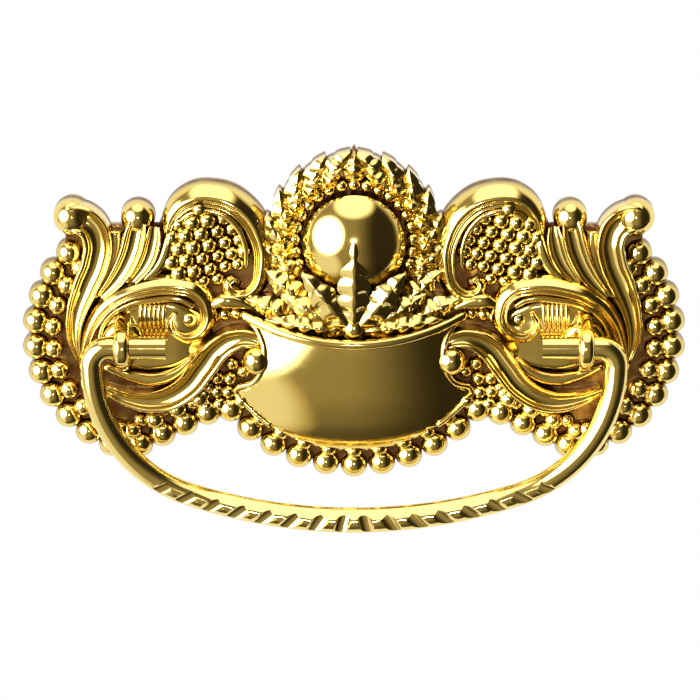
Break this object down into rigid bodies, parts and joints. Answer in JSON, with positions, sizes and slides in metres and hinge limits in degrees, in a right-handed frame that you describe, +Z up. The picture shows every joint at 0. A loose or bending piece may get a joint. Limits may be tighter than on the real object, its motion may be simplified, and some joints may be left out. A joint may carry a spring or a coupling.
{
  "type": "cabinet bail handle",
  "caption": "Cast brass drawer pull: an ornamented back plate with beaded edges, scrolls, a dome and a palmette, and a hanging bail that swings in its ears.",
  "frame": {"origin": "midway between the screws, on the flat back face of the plate", "axes": "+X along the pull, +Y out of the back towards the drawer, +Z up; the front faces -Y"},
  "size_m": [0.1098, 0.0337, 0.0645],
  "materials": {
    "plate_brass": "polished",
    "bail_brass": "polished",
    "screw_steel": "bright zinc"
  },
  "bodies": {
    "plate": {"backplate": "plate_brass", "left_screw": "screw_steel", "right_screw": "screw_steel"},
    "bail": {"bail": "bail_brass"}
  },
  "joints": [
    {"name": "bail_swing", "type": "hinge", "parent": "plate", "child": "bail", "pos_m": [0, -0.0085, 0], "axis": [-1, 0, 0], "range_deg": [-5, 175]}
  ]
}
